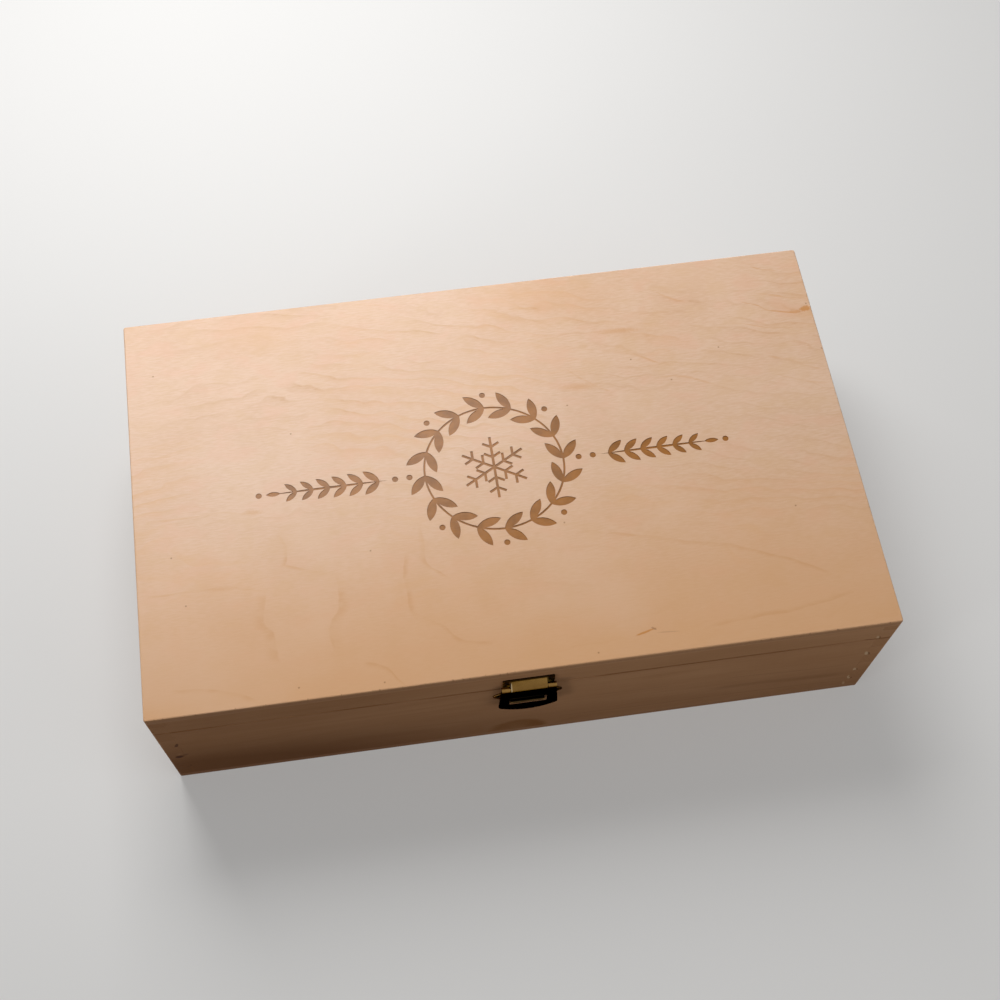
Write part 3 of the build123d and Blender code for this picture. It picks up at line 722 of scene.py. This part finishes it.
def knuckle_highlight_mask(shader):
    """A painted highlight on the upper crests of the flap's knuckles, near the axis of the latch pin."""
    _, y, z = shader.axes(shader.place)
    dy = shader.math("SUBTRACT", y, latch_pin_y)
    dz = shader.math("SUBTRACT", z, latch_pin_z)
    near = shader.step(shader.root(shader.product(dy, dy), shader.product(dz, dz)), 0.0019, 0.0015)
    return shader.product(near, shader.step(dz, -0.0006, 0.0), 0.80)


def catch_brass_and_highlight_mask(shader):
    """Where brass shows on the catch plate: its left end beside the flap, its right end only a little, as
    that end is painted in shadow, and a painted highlight on the crest and ends of its bead.
    """
    x, y, _ = shader.axes(shader.place)
    left_ear = shader.product(shader.step(x, -0.0115, -0.0132), 0.60)
    # The right end is mostly dark: painted shadow.
    right_ear = shader.product(shader.step(x, 0.0115, 0.0132), 0.25)
    # The bead's crest and its ends are a painted highlight.
    crest = shader.step(y, catch_front_y + 0.00032, catch_front_y + 0.00006)
    bead_end = shader.step(shader.math("ABSOLUTE", x), 0.0070, 0.0076)
    bead = shader.product(crest, shader.total(0.40, shader.product(bead_end, 0.60)))
    return shader.math("MAXIMUM", shader.math("MAXIMUM", left_ear, right_ear), bead)


def dress(names, *materials):
    for name in names:
        slots = nodes[name].data.materials
        slots.clear()
        for material in materials:
            slots.append(material)


def eased_copy(name, body, width, face_material, edge_material):
    """A sheet-metal piece in place of its node, with its sharp edges rounded and worn."""
    mesh = nodes[name].data.copy()
    shape = bmesh.new()
    shape.from_mesh(mesh)
    bmesh.ops.remove_doubles(shape, verts=shape.verts, dist=1e-6)
    bmesh.ops.dissolve_limit(shape, angle_limit=math.radians(1), verts=shape.verts, edges=shape.edges)
    for face in shape.faces:
        face.smooth = True
        face.material_index = 0
    shape.to_mesh(mesh)
    shape.free()
    mesh.materials.clear()
    mesh.materials.append(face_material)
    mesh.materials.append(edge_material)
    piece = bpy.data.objects.new(name + "_finished", mesh)
    bpy.context.scene.collection.objects.link(piece)
    bevel = piece.modifiers.new("edges", "BEVEL")
    bevel.width = width
    bevel.segments = 3
    bevel.limit_method = "ANGLE"
    bevel.angle_limit = math.radians(40)
    bevel.material = 1
    bevel.harden_normals = True
    apply_modifiers(piece)
    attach(piece, body)
    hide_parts(name)
    return piece


def apply_modifiers(piece):
    graph = bpy.context.evaluated_depsgraph_get()
    mesh = bpy.data.meshes.new_from_object(piece.evaluated_get(graph))
    piece.modifiers.clear()
    piece.data = mesh


def make_camera():
    data = bpy.data.cameras.new("camera")
    data.sensor_width = SENSOR_WIDTH
    data.lens = FOCAL_PIXELS * SENSOR_WIDTH / FRAME_PIXELS
    data.shift_x = (FRAME_PIXELS / 2 - AXIS_PIXEL_X) / FRAME_PIXELS
    data.shift_y = (AXIS_PIXEL_Y - FRAME_PIXELS / 2) / FRAME_PIXELS
    data.clip_start = 0.01
    camera = bpy.data.objects.new("camera", data)
    bpy.context.scene.collection.objects.link(camera)
    level = math.cos(CAMERA_ELEVATION)
    back = Vector((
        math.sin(CAMERA_AZIMUTH) * level,
        -math.cos(CAMERA_AZIMUTH) * level,
        math.sin(CAMERA_ELEVATION),
    ))
    camera.location = CAMERA_PLACE
    camera.rotation_euler = back.to_track_quat("Z", "Y").to_euler()
    bpy.context.scene.camera = camera


def seen_by_camera(shader_tree):
    """1 for rays from the camera, from gloss and through glass, and 0 for the light that surfaces pass on."""
    path = shader_tree.nodes.new("ShaderNodeLightPath")
    total = path.outputs["Is Camera Ray"]
    for name in ("Is Glossy Ray", "Is Transmission Ray"):
        node = shader_tree.nodes.new("ShaderNodeMath")
        node.operation = "MAXIMUM"
        shader_tree.links.new(total, node.inputs[0])
        shader_tree.links.new(path.outputs[name], node.inputs[1])
        total = node.outputs[0]
    return total


def make_floor():
    size = FLOOR_HALF_SIZE
    mesh = bpy.data.meshes.new("floor")
    corners = [(-size, -size, 0), (size, -size, 0), (size, size, 0), (-size, size, 0)]
    mesh.from_pydata(corners, [], [(0, 1, 2, 3)])
    floor = bpy.data.objects.new("floor", mesh)
    bpy.context.scene.collection.objects.link(floor)
    shader = Shader("floor_paper")
    seen = seen_by_camera(shader.tree)
    colour = shader.mix(seen, FLOOR_BOUNCE, PALE_FLOOR)
    shader.surface.inputs["Emission Color"].default_value = (1.0, 0.99, 0.975, 1)
    x, y, _ = shader.axes(shader.place)
    far = shader.step(shader.root(shader.product(x, x), shader.product(y, y)), 0.5, 1.8)
    glow = shader.total(FLOOR_GLOW, shader.product(far, FAR_FLOOR_GLOW))
    shader.feed(shader.surface.inputs["Emission Strength"], shader.product(seen, glow))
    shader.surface.inputs["Specular IOR Level"].default_value = 0.1
    mesh.materials.append(shader.finish(colour, 0.85))


def make_world():
    world = bpy.data.worlds.new("studio")
    world.use_nodes = True
    tree = world.node_tree
    tree.nodes.clear()
    background = tree.nodes.new("ShaderNodeBackground")
    output = tree.nodes.new("ShaderNodeOutputWorld")
    tree.links.new(background.outputs[0], output.inputs[0])
    background.inputs["Color"].default_value = (0.97, 0.98, 1.0, 1)
    strength = tree.nodes.new("ShaderNodeMapRange")
    tree.links.new(seen_by_camera(tree), strength.inputs["Value"])
    strength.inputs["To Min"].default_value = AMBIENT
    strength.inputs["To Max"].default_value = BACKDROP
    tree.links.new(strength.outputs[0], background.inputs["Strength"])
    bpy.context.scene.world = world


def make_lamp(name, place, size, power):
    data = bpy.data.lights.new(name, "AREA")
    data.shape = "SQUARE"
    data.size = size
    data.energy = power
    lamp = bpy.data.objects.new(name, data)
    bpy.context.scene.collection.objects.link(lamp)
    lamp.location = place
    lamp.rotation_euler = (Vector(place) - Vector(LAMP_TARGET)).to_track_quat("Z", "Y").to_euler()


def main():
    bpy.context.scene.view_settings.view_transform = "Standard"
    make_camera()
    make_world()
    make_floor()
    for lamp in LAMPS:
        make_lamp(*lamp)

    lid_wood = birch_board("birch_lid", lid_board_z, box_height, 3.0, LID_RINGS, LID_RESIN_RINGS,
                           ornament=True)
    dress(["lid_top_board"], lid_wood)
    # The bottom board's sawn edges get painted shade, next to the floor.
    dress(["bottom_panel"], birch_board("birch_bottom", 0.0, bottom_board_z, 11.0, edge_painted_shade=0.35))
    for side, along_x, seed, knot, rings_table, marks in WALLS:
        wood = wall_board(f"wood_{side}", along_x, seed, knot, rings_table, marks)
        dress([f"body_{side}_panel", f"lid_{side}_rail"], wood)

    brass = plated_metal("antique_brass", BRASS_BRIGHT, BRASS_DULL, BRASS_GLOSS)
    worn = plated_metal("worn_brass", BRASS_WORN, BRASS_BRIGHT, WORN_GLOSS)
    # The hood's materials paint shadow on its wings and top strip, shade on its lower part and a highlight on
    # its left edge.
    hood_brass = plated_metal("hood_brass", BRASS_BRIGHT, BRASS_DULL, BRASS_GLOSS, HALF_HOOD)
    hood_worn = plated_metal("hood_worn_brass", BRASS_WORN, BRASS_BRIGHT, WORN_GLOSS, HALF_HOOD)
    flap_metal = blackened_metal("bronze_flap", knuckle_highlight_mask, BRONZE_BROWN_AND_SHADE, BRONZE_DARK_AND_SHADOW)
    # The catch plate is dark bronze as painted shade, where it lies in shadow behind the flap's window, with
    # brass at its ends and a painted highlight on its bead.
    catch_shaded_metal = blackened_metal("catch_painted_shade", catch_brass_and_highlight_mask, CATCH_SHADE_OLIVE, BRONZE_BROWN_AND_SHADE)
    # The latch's nails are dark bronze as painted shade, to match the shaded wings and catch plate.
    bronze = plated_metal("dark_bronze", BRONZE_BROWN_AND_SHADE, BRONZE_DARK_AND_SHADOW, BRONZE_GLOSS)
    dress(["hinge_body_nails", "hinge_lid_nails", "hinge_left_pin", "hinge_right_pin", "latch_pin"], brass)
    dress(["latch_catch_nails", "latch_lid_nails"], bronze)
    for side in ("left", "right"):
        eased_copy(f"hinge_{side}_body_leaf", "box", PLATE_ROUNDING, brass, worn)
        eased_copy(f"hinge_{side}_lid_leaf", "lid", PLATE_ROUNDING, brass, worn)
    eased_copy("latch_lid_plate", "lid", PLATE_ROUNDING, hood_brass, hood_worn)
    eased_copy("latch_catch_plate", "box", PLATE_ROUNDING, catch_shaded_metal, catch_shaded_metal)
    eased_copy("latch_lever", "latch_flap", FLAP_ROUNDING, flap_metal, flap_metal)


main()
